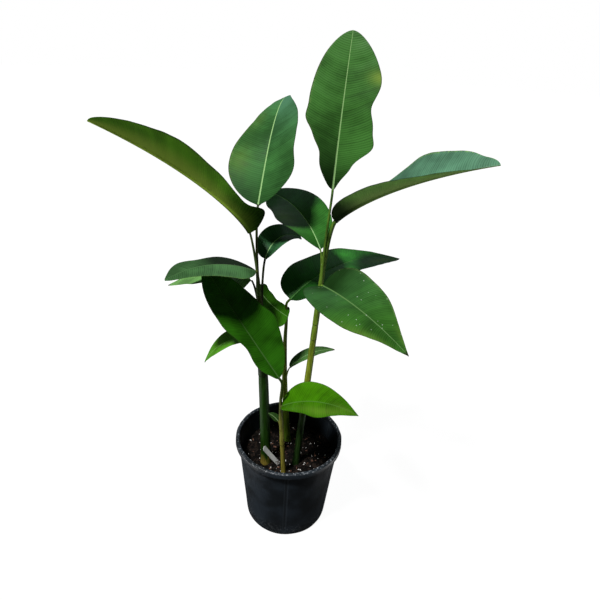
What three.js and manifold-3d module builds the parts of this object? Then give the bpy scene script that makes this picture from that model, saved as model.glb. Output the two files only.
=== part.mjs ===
// A young heliconia in a black nursery pot: four leafy shoots, each a sheathed stalk that
// carries broad paddle-shaped leaves on slim petioles. Millimetres, +Z up. The origin is the
// middle of the pot's underside, X runs to the right and the front of the plant faces -Y.
import * as THREE from 'three';
import { mergeVertices } from 'three/addons/utils/BufferGeometryUtils.js';
import Module from 'manifold-3d';

// Clearance between neighbouring pieces.
const GAP = 0.3;

// Pot: thin tapered wall, rolled lip, flat underside.
const POT_HEIGHT = 245;
const POT_FOOT_RADIUS = 105;
const POT_NECK_RADIUS = 128;
const POT_RIM_RADIUS = 135;
const POT_LIP_HEIGHT = 15;
const POT_LIP_EASE = 3;
const POT_WALL = 3;
const POT_FLOOR = 4;
const POT_FOOT_EASE = 5;
const POT_SIDES = 36;

// Potting mix: fills the pot to this height, and the stalks are cut flat on it.
const SOIL_LEVEL = 185;

// Label: a blank strip pushed into the mix beside the left shoot.
const LABEL_WIDTH = 13;
const LABEL_LENGTH = 74;
const LABEL_THICKNESS = 1;
const LABEL_FOOT = [-24, -41];
const LABEL_HEADING = 199;
const LABEL_RISE = 58;
const LABEL_TWIST = 40;

// Leaf build: the blade thickens to a rib under its middle, which tapers to the tip. Each half
// has three columns: the rib's edge, the middle of the half and the margin.
const BLADE_THINNESS = 95;
const TIP_HALF_WIDTH = 0.6;
const RIB_SHARE = 0.8;
const BLADE_ROWS = 12;
const SMALL_BLADE_ROWS = 8;
const SMALL_BLADE_LENGTH = 150;
const HALF_COLUMNS = 3;
const SWELL_STATIONS = [0, 0.15, 0.35, 0.6, 0.85, 1];
const CUP_LENGTH = 0.12;

// Limb build: sides and steps of a stalk and of a petiole, and the swollen foot of a stalk.
const STALK_SIDES = 10;
const STALK_STEPS = 12;
const PETIOLE_SIDES = 7;
const PETIOLE_STEPS = 7;
const FOOT_SWELLING = 0.18;
const FOOT_SWELLING_HEIGHT = 22;
const FOOT_CROWDING = 1.4;
const FOOT_LEVELLING = 6;
const NECK_LENGTH = 12;
const PETIOLE_RISE_SHARE = 0.25;
const PETIOLE_SWING_SHARE = 0.15;
const HALVINGS = 24;

// Stalks: X, Y, Z and radius at the foot on the mix, at points that the lean passes through, and
// the radius at the head. Each stalk runs on as the petiole of its leading leaf.
const STALKS = {
  left: {
    stations: [
      [-55, -33, SOIL_LEVEL, 12.5],
      [-66, -29, 430, 11.5],
      [-76, -21, 600, 7],
      [-83, -15, 680, 3.6],
      [-87, -9, 756, 2.6],
    ],
    headRadius: 2.4,
  },
  front: {
    stations: [
      [-9, -66, SOIL_LEVEL, 5.8],
      [-18, -70, 320, 5],
      [-23, -72, 410, 3.5],
    ],
    headRadius: 2.8,
  },
  back: {
    stations: [
      [-3, 45, SOIL_LEVEL, 7.6],
      [-17, 48, 365, 6.8],
      [-21, 49, 500, 4.6],
      [-20, 50, 560, 3.6],
    ],
    headRadius: 2.8,
  },
  right: {
    stations: [
      [21, -34, SOIL_LEVEL, 8.6],
      [34.8, -29, 410, 7.9],
      [46.8, -23, 610, 6.3],
      [51, -22, 689, 3.4],
      [53.5, -17, 775, 2.6],
    ],
    headRadius: 2.4,
  },
};

// Leaves: where the blade starts, its compass heading and its rise from base to tip in degrees,
// length and half widths, the fold of the two halves about the midrib, the roll of the whole
// blade, how full its shoulders are and how drawn out its point, and the height on the stalk
// where its petiole leaves. A leaf with no such height leads its stalk. A bend above one keeps
// the arch of the leaf for its tip, a bend below one puts it near the base. The swells say how
// full each margin is at the swell stations before the tip. Lobes are the bulges and nicks of a
// margin, each with its place, its breadth and its share of the width. A cup is the added fold
// of a base that wraps its petiole, and below nought it is a base that hangs down.
const LEAVES = [
  {
    name: 'top', stalk: 'right', base: [61, -8, 890], heading: [74, 77], rise: [82, 68], length: 289,
    left: 65, right: 68, fold: [12, 2], roll: [-4, 0], shoulder: 0.67, point: 0.63,
    swellLeft: [0.64, 0.72, 0.8, 0.99, 1.01], swellRight: [0.3, 0.66, 0.95, 0.92, 1.04],
    lobesLeft: [[0.24, 0.06, -0.12], [0.44, 0.07, 0.17]],
    lobesRight: [[0.275, 0.07, 0.25], [0.53, 0.08, -0.14], [0.7, 0.1, 0.1]],
  },
  {
    name: 'crown', stalk: 'left', base: [-86, 0, 848], heading: [81, 78.8], rise: [52, -14], bend: 2.7,
    length: 331, left: 73, right: 73, fold: [22, -4], roll: [11, 27.6], shoulder: 0.6, point: 1.2,
    swellLeft: [1.08, 1.07, 1.03, 0.88, 1.04], swellRight: [1.15, 1.2, 0.92, 1, 0.76],
  },
  {
    name: 'far_left', stalk: 'left', leaves: 680, base: [-100, -26, 797], heading: [181, 190],
    rise: [72, 25], bend: 0.29, length: 359, left: 64, right: 62, fold: [29, 38], roll: [-21, -25],
    cup: 30, shoulder: 0.36, point: 0.6, swellLeft: [0.64, 0.72, 0.9, 1.14, 1.02],
    swellRight: [0.9, 0.9, 0.71, 1, 0.97], lobesLeft: [[0.06, 0.05, 0.67]], petiole: { foot: 3.4, head: 2.4 },
  },
  {
    name: 'centre', stalk: 'right', leaves: 600, base: [45, -2, 760], heading: [115, 133],
    rise: [38, -7], length: 238, left: 61, right: 59, fold: [17, -2], roll: [-5, 28],
    shoulder: 0.69, point: 0.83, swellLeft: [1.04, 1.04, 1.09, 0.92, 1],
    petiole: { foot: 2.6, head: 1.6 },
  },
  {
    name: 'far_right', stalk: 'right', leaves: 640, base: [72, -12, 826], heading: [-28, -19.6],
    rise: [53, 16.5], bend: 0.48, length: 328, left: 66, right: 64, fold: [24, 24], roll: [12, -16],
    cup: 20, shoulder: 0.63, point: 0.62, swellLeft: [0.55, 0.51, 0.62, 1.15, 1.02],
    lobesLeft: [[0.1, 0.03, -0.2], [0.93, 0.06, -0.2]], petiole: { foot: 6.2, head: 4.6 },
  },
  {
    name: 'inner', stalk: 'left', leaves: 500, base: [-71, 20, 722], heading: [65, 34],
    rise: [58, -36], bend: 0.92, length: 132, left: 37, right: 37, fold: [23, 10], roll: [9, -25],
    shoulder: 0.57, point: 0.72, petiole: { foot: 3.4, head: 2.4 },
  },
  {
    name: 'left_upper', stalk: 'left', leaves: 676, base: [-86, -33, 716], heading: [192, 218],
    rise: [25, -21], length: 194, left: 55, right: 52, fold: [-11, -1], roll: [2, -4],
    shoulder: 0.57, point: 0.74, swellLeft: [1, 0.95, 0.88, 0.84, 0.9],
    swellRight: [0.95, 1.04, 1.12, 0.96, 1.3],
    petiole: { foot: 3, head: 2.4 },
  },
  {
    name: 'left_lower', stalk: 'left', leaves: 560, base: [-98, -4, 680], heading: [169, 170],
    rise: [50, -33], bend: 0.35, length: 207, left: 44, right: 41, fold: [3, -4], roll: [5, -3],
    cup: -40, shoulder: 0.59, point: 0.83, swellLeft: [2.2, 0.95, 0.95, 1.15, 1.1],
    petiole: { foot: 3.4, head: 2.2 },
  },
  {
    name: 'front_left', stalk: 'front', base: [-29, -72, 475], heading: [165, 168], rise: [54, 57],
    length: 298, left: 48, right: 61, fold: [32, 20], roll: [30, 66], shoulder: 0.6, point: 0.62,
    swellLeft: [0.8, 1, 0.6, 0.9, 1.02], swellRight: [0.85, 1, 1.06, 0.94, 0.84],
    lobesRight: [[0.45, 0.08, 0.11]],
  },
  {
    name: 'front_right', stalk: 'right', leaves: 655, base: [54, -37, 692], heading: [-60, -53.6],
    rise: [10, -17.4], length: 270, left: 67, right: 73, fold: [29, -8], roll: [-19, -7],
    shoulder: 0.42, point: 1.09, swellLeft: [1, 1, 0.96, 1.04, 1],
    swellRight: [1, 1, 1.03, 1.12, 0.9],
  },
  {
    name: 'back_right', stalk: 'back', base: [-13, 50, 611], heading: [40, 19], rise: [36, -14],
    bend: 0.9, length: 323, left: 67, right: 62, fold: [18, -7], roll: [-8, 3],
    shoulder: 0.42, point: 0.71, swellLeft: [1.2, 1.1, 0.95, 1.09, 1],
    swellRight: [1.04, 1.04, 0.92, 0.97, 1.06],
  },
  {
    name: 'small_right', stalk: 'back', leaves: 335, base: [-6, 44, 424], heading: [30, 15],
    rise: [39, -12], length: 127, left: 19, right: 22, fold: [24, 3], roll: [6, -2],
    shoulder: 0.59, point: 0.87,
  },
  {
    name: 'low_front', stalk: 'front', leaves: 372, base: [-19, -78, 402], heading: [-19, -22],
    rise: [39, -17], length: 188, left: 57, right: 49, fold: [18, -11], roll: [-11, -1],
    shoulder: 0.59, point: 1.06, swellRight: [0.8, 0.75, 0.82, 1.15, 0.95],
  },
  {
    name: 'drooping', stalk: 'left', leaves: 590, base: [-86, 22, 651], heading: [8, 0],
    rise: [-64, -31], bend: 0.9, length: 104, left: 44, right: 39, fold: [-4, -6], roll: [-26, -26],
    shoulder: 0.47, point: 0.28, swellLeft: [1.1, 1.1, 0.73, 0.56, 0.66],
    swellRight: [0.4, 0.5, 0.99, 0.82, 1.07],
  },
  {
    name: 'low_left', stalk: 'left', leaves: 500, base: [-86, -17, 543], heading: [190, 196],
    rise: [18, -64], bend: 0.88, length: 140, left: 34, right: 37, fold: [11, 2], roll: [3, -10],
    shoulder: 0.58, point: 0.83,
  },
  {
    name: 'sprout', stalk: 'front', leaves: 326, base: [-27, -62, 343], heading: [152, 163],
    rise: [40, 17], length: 30, left: 8, right: 11, fold: [10, 5], roll: [0, 0],
    shoulder: 0.6, point: 0.8,
  },
];

// Petiole radii where it leaves the stalk and where the blade starts, for a leaf that states none.
// A leaf narrower than the full width has a small petiole.
const PETIOLE_RADII = { foot: 4.4, head: 2.6 };
const SMALL_PETIOLE_RADII = { foot: 3, head: 1.6 };
const FULL_WIDTH = 45;

// Colours and roughness.
const POT_COLOUR = 0x16191c;
const POT_ROUGHNESS = 0.45;
const SOIL_COLOUR = 0x1d1712;
const SOIL_ROUGHNESS = 0.95;
const LABEL_COLOUR = 0xe8e8e4;
const LABEL_ROUGHNESS = 0.5;
const STALK_COLOURS = { left: 0x3f6a2a, front: 0x8a8a3c, back: 0x4d4a2a, right: 0x6f8a36 };
const STALK_ROUGHNESS = 0.6;
const BLADE_COLOUR = 0x2f6b33;
const BLADE_ROUGHNESS = 0.5;

const wasm = await Module();
wasm.setup();

const plant = new THREE.Group();
const UP = new THREE.Vector3(0, 0, 1);

function paint(colour, roughness) {
  return new THREE.MeshStandardMaterial({ color: colour, roughness, metalness: 0 });
}

function addNode(name, geometry, colour, roughness) {
  const mesh = new THREE.Mesh(geometry, paint(colour, roughness));
  mesh.name = name;
  plant.add(mesh);
}

// Moves every corner of a plain shape to its place on the plant, and joins shared corners.
function reshape(geometry, place) {
  const corners = geometry.attributes.position;
  const corner = new THREE.Vector3();
  for (let i = 0; i < corners.count; i += 1) {
    corner.fromBufferAttribute(corners, i);
    const placed = place(corner);
    corners.setXYZ(i, placed.x, placed.y, placed.z);
  }
  return joined(geometry);
}

function joined(geometry) {
  geometry.deleteAttribute('normal');
  geometry.deleteAttribute('uv');
  return mergeVertices(geometry);
}

function toSolid(geometry) {
  const vertProperties = Float32Array.from(geometry.attributes.position.array);
  const triVerts = Uint32Array.from(geometry.index.array);
  return new wasm.Manifold(new wasm.Mesh({ numProp: 3, vertProperties, triVerts }));
}

function toGeometry(solid) {
  const mesh = solid.getMesh();
  const geometry = new THREE.BufferGeometry();
  const corners = Float32Array.from(mesh.vertProperties);
  geometry.setAttribute('position', new THREE.BufferAttribute(corners, 3));
  geometry.setIndex(new THREE.BufferAttribute(Uint32Array.from(mesh.triVerts), 1));
  return geometry;
}

// Cuts a limb clear of the grown limbs it springs from, and keeps its largest piece.
function cutClear(geometry, grownLimbs) {
  let solid = toSolid(geometry);
  for (const grown of grownLimbs) {
    solid = solid.subtract(grown);
  }
  const pieces = solid.decompose();
  pieces.sort((a, b) => b.volume() - a.volume());
  return toGeometry(pieces[0]);
}

// A value that runs from the first to the second of a pair along a leaf or limb.
function between(pair, t) {
  return pair[0] + (pair[1] - pair[0]) * t;
}

// The value at a height, read off a chain of heights and values.
function readOff(heights, values, height) {
  let k = 0;
  while (k < heights.length - 2 && height > heights[k + 1]) {
    k += 1;
  }
  const share = (height - heights[k]) / (heights[k + 1] - heights[k]);
  return between([values[k], values[k + 1]], share);
}

function radians(degrees) {
  return THREE.MathUtils.degToRad(degrees);
}

// A limb: a cylinder bent along a curve, its rings square to the curve and level at the foot.
function limb(curve, radiusAt, sides, steps, levelFoot) {
  const cylinder = new THREE.CylinderGeometry(1, 1, steps, sides, steps);
  return reshape(cylinder, (corner) => {
    const share = corner.y / steps + 0.5;
    const t = levelFoot ? share ** FOOT_CROWDING : share;
    const centre = curve.getPointAt(t);
    const along = curve.getTangentAt(t);
    if (levelFoot) {
      along.lerpVectors(UP, along, Math.min(1, FOOT_LEVELLING * t)).normalize();
    }
    const across = new THREE.Vector3(1, 0, 0);
    across.addScaledVector(along, -across.dot(along)).normalize();
    const beside = new THREE.Vector3().crossVectors(across, along);
    const radius = radiusAt(t, centre);
    centre.addScaledVector(across, corner.x * radius);
    return centre.addScaledVector(beside, corner.z * radius);
  });
}

// The direction of a leaf's midrib, its side and its upper face at a share of its length.
function leafFrame(leaf, t) {
  const heading = radians(between(leaf.heading, t));
  const rise = radians(between(leaf.rise, t ** (leaf.bend ?? 1)));
  const roll = radians(between(leaf.roll, t));
  const along = new THREE.Vector3(
    Math.cos(rise) * Math.cos(heading),
    Math.cos(rise) * Math.sin(heading),
    Math.sin(rise),
  );
  const level = new THREE.Vector3(Math.sin(heading), -Math.cos(heading), 0);
  const upright = new THREE.Vector3().crossVectors(level, along);
  const side = level.clone().multiplyScalar(Math.cos(roll)).addScaledVector(upright, Math.sin(roll));
  const up = new THREE.Vector3().crossVectors(side, along);
  return { along, side, up };
}

// The midrib as a chain of points, found by walking along the leaf's changing direction.
function midrib(leaf, steps) {
  const points = [new THREE.Vector3(...leaf.base)];
  for (let i = 0; i < steps; i += 1) {
    const stride = leafFrame(leaf, (i + 0.5) / steps).along;
    points.push(points[i].clone().addScaledVector(stride, leaf.length / steps));
  }
  return points;
}

// How full a margin is at a share of the leaf's length, eased between the leaf's stations.
function swell(amounts, t) {
  if (!amounts) {
    return 1;
  }
  const values = [...amounts, 1];
  let k = 0;
  while (t > SWELL_STATIONS[k + 1]) {
    k += 1;
  }
  const ease = THREE.MathUtils.smoothstep(t, SWELL_STATIONS[k], SWELL_STATIONS[k + 1]);
  return between([values[k], values[k + 1]], ease);
}

function halfWidth(leaf, t, sideSign) {
  const fullest = leaf.shoulder / (leaf.shoulder + leaf.point);
  const scale = fullest ** leaf.shoulder * (1 - fullest) ** leaf.point;
  const outline = (t ** leaf.shoulder * (1 - t) ** leaf.point) / scale;
  const widest = sideSign < 0 ? leaf.left : leaf.right;
  const amounts = sideSign < 0 ? leaf.swellLeft : leaf.swellRight;
  const bulges = (sideSign < 0 ? leaf.lobesLeft : leaf.lobesRight) ?? [];
  let fullness = swell(amounts, t);
  for (const [place, breadth, share] of bulges) {
    fullness += share * Math.exp(-(((t - place) / breadth) ** 2));
  }
  const stem = between([petioleRadii(leaf).head, TIP_HALF_WIDTH], t);
  return widest * outline * fullness + stem;
}

function foldAt(leaf, t) {
  return radians(between(leaf.fold, t) + (leaf.cup ?? 0) * Math.exp(-t / CUP_LENGTH));
}

function petioleRadii(leaf) {
  const usual = leaf.left + leaf.right < FULL_WIDTH ? SMALL_PETIOLE_RADII : PETIOLE_RADII;
  return leaf.petiole ?? usual;
}

// A blade: a flat box bent to the leaf. Each half leaves the midrib at the fold angle, and the
// underside hangs lower at the middle column, which makes the rib.
function blade(leaf) {
  const rows = leaf.length < SMALL_BLADE_LENGTH ? SMALL_BLADE_ROWS : BLADE_ROWS;
  const points = midrib(leaf, rows);
  const thickness = leaf.length / BLADE_THINNESS;
  const ribRadius = petioleRadii(leaf).head;
  const box = new THREE.BoxGeometry(2 * HALF_COLUMNS, rows, 1, 2 * HALF_COLUMNS, rows, 1);
  return reshape(box, (corner) => {
    const row = Math.round(corner.y + rows / 2);
    const column = Math.round(Math.abs(corner.x));
    const sideSign = corner.x < 0 ? -1 : 1;
    const t = row / rows;
    const { side, up } = leafFrame(leaf, t);
    const width = halfWidth(leaf, t, sideSign);
    const ribShare = (RIB_SHARE * between([ribRadius, TIP_HALF_WIDTH], t)) / width;
    const share = [0, ribShare, (1 + ribShare) / 2, 1][column];
    const fold = foldAt(leaf, t);
    const outward = side.clone().multiplyScalar(sideSign * Math.cos(fold));
    outward.addScaledVector(up, Math.sin(fold));
    const upper = up.clone();
    if (column > 0) {
      upper.multiplyScalar(Math.cos(fold)).addScaledVector(side, -sideSign * Math.sin(fold));
    }
    const rib = column === 0 ? Math.max(0, 2 * ribRadius - thickness) * (1 - t) : 0;
    const lift = corner.z > 0 ? thickness / 2 : -thickness / 2 - rib;
    return points[row].clone().addScaledVector(outward, share * width).addScaledVector(upper, lift);
  });
}

// Pot: one turned wall with its floor, and a lip that stands out round the rim.
const wallRadius = (z) => between([POT_FOOT_RADIUS, POT_NECK_RADIUS], z / POT_HEIGHT);
const innerRadius = (z) => wallRadius(z) - POT_WALL;
const lipFoot = POT_HEIGHT - POT_LIP_HEIGHT;
const potProfile = [
  [0, 0],
  [POT_FOOT_RADIUS - POT_FOOT_EASE, 0],
  [wallRadius(POT_FOOT_EASE), POT_FOOT_EASE],
  [wallRadius(lipFoot), lipFoot],
  [POT_RIM_RADIUS - POT_LIP_EASE, lipFoot],
  [POT_RIM_RADIUS, lipFoot + POT_LIP_EASE],
  [POT_RIM_RADIUS, POT_HEIGHT - POT_LIP_EASE],
  [POT_RIM_RADIUS - POT_LIP_EASE, POT_HEIGHT],
  [innerRadius(POT_HEIGHT), POT_HEIGHT],
  [innerRadius(POT_FLOOR), POT_FLOOR],
  [0, POT_FLOOR],
];

function turned(profile) {
  const points = profile.map(([radius, height]) => new THREE.Vector2(radius, height));
  const lathe = new THREE.LatheGeometry(points, POT_SIDES);
  lathe.rotateX(Math.PI / 2);
  return joined(lathe);
}

addNode('pot', turned(potProfile), POT_COLOUR, POT_ROUGHNESS);

// Potting mix: a plug that fills the pot, clear of its wall and floor.
const soilFloor = POT_FLOOR + GAP;
const soilRadius = (z) => innerRadius(z) - 2 * GAP;
const soilProfile = [
  [0, soilFloor],
  [soilRadius(soilFloor), soilFloor],
  [soilRadius(SOIL_LEVEL), SOIL_LEVEL],
  [0, SOIL_LEVEL],
];
addNode('soil', turned(soilProfile), SOIL_COLOUR, SOIL_ROUGHNESS);

// Label: a thin strip that leans out of the mix, its foot cut level just above it.
const labelStrip = new THREE.BoxGeometry(LABEL_LENGTH, LABEL_WIDTH, LABEL_THICKNESS);
labelStrip.rotateX(-radians(LABEL_TWIST));
labelStrip.rotateY(-radians(LABEL_RISE));
labelStrip.rotateZ(radians(LABEL_HEADING));
labelStrip.computeBoundingBox();
const labelFootHeight = SOIL_LEVEL + GAP - labelStrip.boundingBox.min.z;
const labelReach = (LABEL_LENGTH / 2) * Math.cos(radians(LABEL_RISE));
labelStrip.translate(
  LABEL_FOOT[0] + labelReach * Math.cos(radians(LABEL_HEADING)),
  LABEL_FOOT[1] + labelReach * Math.sin(radians(LABEL_HEADING)),
  labelFootHeight,
);
addNode('plant_label', joined(labelStrip), LABEL_COLOUR, LABEL_ROUGHNESS);

// Stalks: each runs from its flat foot on the mix to just under its leading leaf.
const stalkCurves = {};
const grownLimbs = {};
for (const [name, stalk] of Object.entries(STALKS)) {
  const leader = LEAVES.find((leaf) => leaf.stalk === name && !leaf.leaves);
  const headAlong = leafFrame(leader, 0).along;
  const head = new THREE.Vector3(...leader.base).addScaledVector(headAlong, -GAP);
  const neck = head.clone().addScaledVector(headAlong, -NECK_LENGTH);
  const points = stalk.stations.map(([x, y, z]) => new THREE.Vector3(x, y, z));
  points[0].z += GAP;
  const curve = new THREE.CatmullRomCurve3([...points, neck, head]);
  const heights = [...points.map((point) => point.z), head.z];
  const radii = [...stalk.stations.map((station) => station[3]), stalk.headRadius];
  const radiusAt = (t, centre) => {
    const swollen = 1 + FOOT_SWELLING * Math.exp((SOIL_LEVEL - centre.z) / FOOT_SWELLING_HEIGHT);
    return swollen * readOff(heights, radii, centre.z);
  };
  const grownRadiusAt = (t, centre) => radiusAt(t, centre) + GAP;
  stalkCurves[name] = curve;
  const whole = limb(curve, radiusAt, STALK_SIDES, STALK_STEPS, true);
  const grown = limb(curve, grownRadiusAt, STALK_SIDES, STALK_STEPS, true);
  grownLimbs[name] = [toSolid(grown)];
  addNode(`stalk_${name}`, whole, STALK_COLOURS[name], STALK_ROUGHNESS);
}

// The point and direction of a stalk at a height, closed in on by halving.
function stalkAt(name, height) {
  const curve = stalkCurves[name];
  let low = 0;
  let high = 1;
  for (let i = 0; i < HALVINGS; i += 1) {
    const middle = (low + high) / 2;
    if (curve.getPoint(middle).z < height) {
      low = middle;
    } else {
      high = middle;
    }
  }
  return { point: curve.getPoint(low), along: curve.getTangent(low) };
}

// Petioles: each starts inside its stalk, rises with it, and swings over to the blade.
for (const leaf of LEAVES.filter((each) => each.leaves)) {
  const start = stalkAt(leaf.stalk, leaf.leaves);
  const headAlong = leafFrame(leaf, 0).along;
  const head = new THREE.Vector3(...leaf.base).addScaledVector(headAlong, -GAP);
  const span = start.point.distanceTo(head);
  const curve = new THREE.CubicBezierCurve3(
    start.point,
    start.point.clone().addScaledVector(start.along, PETIOLE_RISE_SHARE * span),
    head.clone().addScaledVector(headAlong, -PETIOLE_SWING_SHARE * span),
    head,
  );
  const radii = petioleRadii(leaf);
  const radiusAt = (t) => between([radii.foot, radii.head], t);
  const grownRadiusAt = (t) => radiusAt(t) + GAP;
  const whole = limb(curve, radiusAt, PETIOLE_SIDES, PETIOLE_STEPS, false);
  const grown = limb(curve, grownRadiusAt, PETIOLE_SIDES, PETIOLE_STEPS, false);
  const petiole = cutClear(whole, grownLimbs[leaf.stalk]);
  grownLimbs[leaf.stalk].push(toSolid(grown));
  addNode(`petiole_${leaf.name}`, petiole, STALK_COLOURS[leaf.stalk], STALK_ROUGHNESS);
}

// Blades: one paddle for each leaf.
for (const leaf of LEAVES) {
  addNode(`blade_${leaf.name}`, blade(leaf), BLADE_COLOUR, BLADE_ROUGHNESS);
}

export default plant;
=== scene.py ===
import math
import random

import bmesh
import bpy
from mathutils import Matrix, Vector, noise


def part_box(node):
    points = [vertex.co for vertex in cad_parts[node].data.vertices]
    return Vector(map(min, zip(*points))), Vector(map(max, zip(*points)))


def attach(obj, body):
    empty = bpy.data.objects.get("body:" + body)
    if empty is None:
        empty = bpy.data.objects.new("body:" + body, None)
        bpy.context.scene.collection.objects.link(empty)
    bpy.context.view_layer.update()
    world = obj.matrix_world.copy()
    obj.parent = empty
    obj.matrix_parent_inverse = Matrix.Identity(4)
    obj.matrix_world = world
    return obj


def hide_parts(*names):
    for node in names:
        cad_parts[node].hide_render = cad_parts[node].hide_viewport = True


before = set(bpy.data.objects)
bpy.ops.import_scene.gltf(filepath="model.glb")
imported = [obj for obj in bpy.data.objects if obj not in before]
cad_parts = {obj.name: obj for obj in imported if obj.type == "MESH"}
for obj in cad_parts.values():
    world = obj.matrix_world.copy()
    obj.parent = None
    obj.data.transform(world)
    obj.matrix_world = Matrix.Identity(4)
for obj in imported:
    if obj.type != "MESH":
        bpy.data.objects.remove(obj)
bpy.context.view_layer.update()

# Pot: a nursery pot of thin black polyethylene, moulded in one piece. A rolled lip stiffens the
# rim, shallow mould lines run down the wall, and it stands on a ring round its underside.
POT_HEIGHT = 0.245
POT_FOOT_RADIUS = 0.105
POT_NECK_RADIUS = 0.128
POT_RIM_RADIUS = 0.135
POT_WALL = 0.0025
POT_FLOOR = 0.004
POT_RING_HEIGHT = 0.0015
POT_RING_INNER_RADIUS = 0.088
POT_FOOT_EASE = 0.006
POT_SPIN_STEPS = 240
POT_WALL_STEPS = 46
LIP_HEIGHT = 0.016
LIP_EASE = 0.003
LIP_FOOT_EASE = 0.0006
LIP_WAVE = 0.0007
LIP_WAVE_RATE = 2.2
LIP_RISE_RATE = 1.4
MOULD_LINES = 6
MOULD_LINE_DEPTH = 0.0012
MOULD_LINE_WIDTH = 0.003
MOULD_FLAT = 0.00064
MOULD_FADE_FOOT = 0.02
MOULD_FADE_LIP = 0.01
WALL_DENT = 0.0007
DENT_RATE_ROUND = 22
DENT_RATE_UP = 14
POT_BLACK = (0.008, 0.0105, 0.013, 1)
POT_GREY = (0.017, 0.024, 0.032, 1)
SCUFF_AND_HIGHLIGHT_GREY = (0.26, 0.28, 0.3, 1)
SEAM_PAINTED_HIGHLIGHT = (0.035, 0.045, 0.055, 1)


def put(tree, socket, value):
    """Links a socket that is given, and sets any other value."""
    if isinstance(value, bpy.types.NodeSocket):
        tree.links.new(value, socket)
    else:
        socket.default_value = value


def add(tree, kind, sockets, **settings):
    """Adds a shader node with what its sockets and settings hold."""
    made = tree.nodes.new("ShaderNode" + kind)
    for name, value in settings.items():
        setattr(made, name, value)
    for key, value in sockets.items():
        put(tree, made.inputs[key], value)
    return made


def object_place(tree, stretch=(1, 1, 1)):
    """Object coordinates, stretched along the axes."""
    place = add(tree, "TexCoord", {}).outputs["Object"]
    return add(tree, "Mapping", {"Vector": place, "Scale": stretch}).outputs["Vector"]


def speckle(tree, place, scale, detail=3.0, roughness=0.55):
    """A soft grey noise between nought and one."""
    sockets = {"Vector": place, "Scale": scale, "Detail": detail, "Roughness": roughness}
    return add(tree, "TexNoise", sockets).outputs["Fac"]


def eased(tree, value, low, high, first=0.0, last=1.0):
    """A value eased from first to last while it runs from low to high."""
    sockets = {"Value": value, "From Min": low, "From Max": high, "To Min": first, "To Max": last}
    return add(tree, "MapRange", sockets, interpolation_type="SMOOTHSTEP").outputs["Result"]


def sums(tree, operation, first, second):
    return add(tree, "Math", {0: first, 1: second}, operation=operation).outputs[0]


def blended(tree, share, first, second):
    """One colour over another by a share."""
    mixed = add(tree, "Mix", {"Factor": share, 6: first, 7: second}, data_type="RGBA")
    return mixed.outputs[2]


def toned(colour, share):
    """A colour made lighter or darker by a share."""
    return (*(channel * share for channel in colour[:3]), 1)


def start_finish(name):
    finish = bpy.data.materials.new(name)
    finish.use_nodes = True
    return finish, finish.node_tree, finish.node_tree.nodes["Principled BSDF"]


def coat(tree, shader, tone, roughness, sheen=0.5):
    """Gives a finish its colour, its roughness and the strength of its sheen."""
    looks = {"Base Color": tone, "Roughness": roughness, "Specular IOR Level": sheen}
    for name, value in looks.items():
        put(tree, shader.inputs[name], value)


def relief(tree, shader, height, strength, distance):
    sockets = {"Height": height, "Strength": strength, "Distance": distance}
    tree.links.new(add(tree, "Bump", sockets).outputs["Normal"], shader.inputs["Normal"])


def finished(name, shape, finish, nodes=(), smooth=True):
    """Makes the shape a piece with its finish, rides it on the plant and hides what it replaces."""
    mesh = bpy.data.meshes.new(name)
    for face in shape.faces:
        face.smooth = smooth
    shape.to_mesh(mesh)
    shape.free()
    mesh.materials.append(finish)
    piece = bpy.data.objects.new(name, mesh)
    bpy.context.collection.objects.link(piece)
    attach(piece, "root")
    if nodes:
        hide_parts(*nodes)
    return piece


def arc(centre, radius, start, end, steps):
    """Points of an outline round a centre, between two angles in degrees."""
    points = []
    for step in range(steps + 1):
        angle = math.radians(start + (end - start) * step / steps)
        points.append((centre[0] + radius * math.cos(angle), centre[1] + radius * math.sin(angle)))
    return points


def turned(outline, steps):
    """Spins an outline of radius and height about the upright axis into one closed body."""
    shape = bmesh.new()
    corners = [shape.verts.new((radius, 0, height)) for radius, height in outline]
    lines = [shape.edges.new(pair) for pair in zip(corners, corners[1:])]
    bmesh.ops.spin(shape, geom=corners + lines, cent=(0, 0, 0), axis=(0, 0, 1), dvec=(0, 0, 0),
                   angle=2 * math.pi, steps=steps, use_merge=True, use_duplicate=False)
    bmesh.ops.remove_doubles(shape, verts=shape.verts, dist=1e-6)
    bmesh.ops.recalc_face_normals(shape, faces=shape.faces)
    return shape


def wall_radius(height):
    return POT_FOOT_RADIUS + (POT_NECK_RADIUS - POT_FOOT_RADIUS) * height / POT_HEIGHT


def wall_heights(low, high):
    return [low + (high - low) * step / POT_WALL_STEPS for step in range(POT_WALL_STEPS + 1)]


lip_foot = POT_HEIGHT - LIP_HEIGHT
pot_outline = [(0, POT_RING_HEIGHT), (POT_RING_INNER_RADIUS, POT_RING_HEIGHT)]
pot_outline.append((POT_RING_INNER_RADIUS + POT_RING_HEIGHT, 0))
pot_outline += arc((POT_FOOT_RADIUS - POT_FOOT_EASE, POT_FOOT_EASE), POT_FOOT_EASE, -90, -5, 6)
pot_outline += [(wall_radius(z), z) for z in wall_heights(2 * POT_FOOT_EASE, lip_foot - LIP_EASE)]
pot_outline.append((wall_radius(lip_foot) + LIP_FOOT_EASE, lip_foot - LIP_FOOT_EASE))
pot_outline += arc((POT_RIM_RADIUS - LIP_EASE, lip_foot + LIP_EASE), LIP_EASE, -90, 0, 5)
pot_outline += arc((POT_RIM_RADIUS - LIP_EASE, POT_HEIGHT - LIP_EASE), LIP_EASE, 0, 90, 6)
lip_inside = wall_radius(POT_HEIGHT) - POT_WALL
pot_outline += arc((lip_inside + LIP_EASE, POT_HEIGHT - LIP_EASE), LIP_EASE, 90, 180, 6)
pot_outline += [(wall_radius(z) - POT_WALL, z) for z in wall_heights(lip_foot - LIP_EASE, POT_FLOOR)]
pot_outline.append((0, POT_FLOOR))
pot_shape = turned(pot_outline, POT_SPIN_STEPS)
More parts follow.
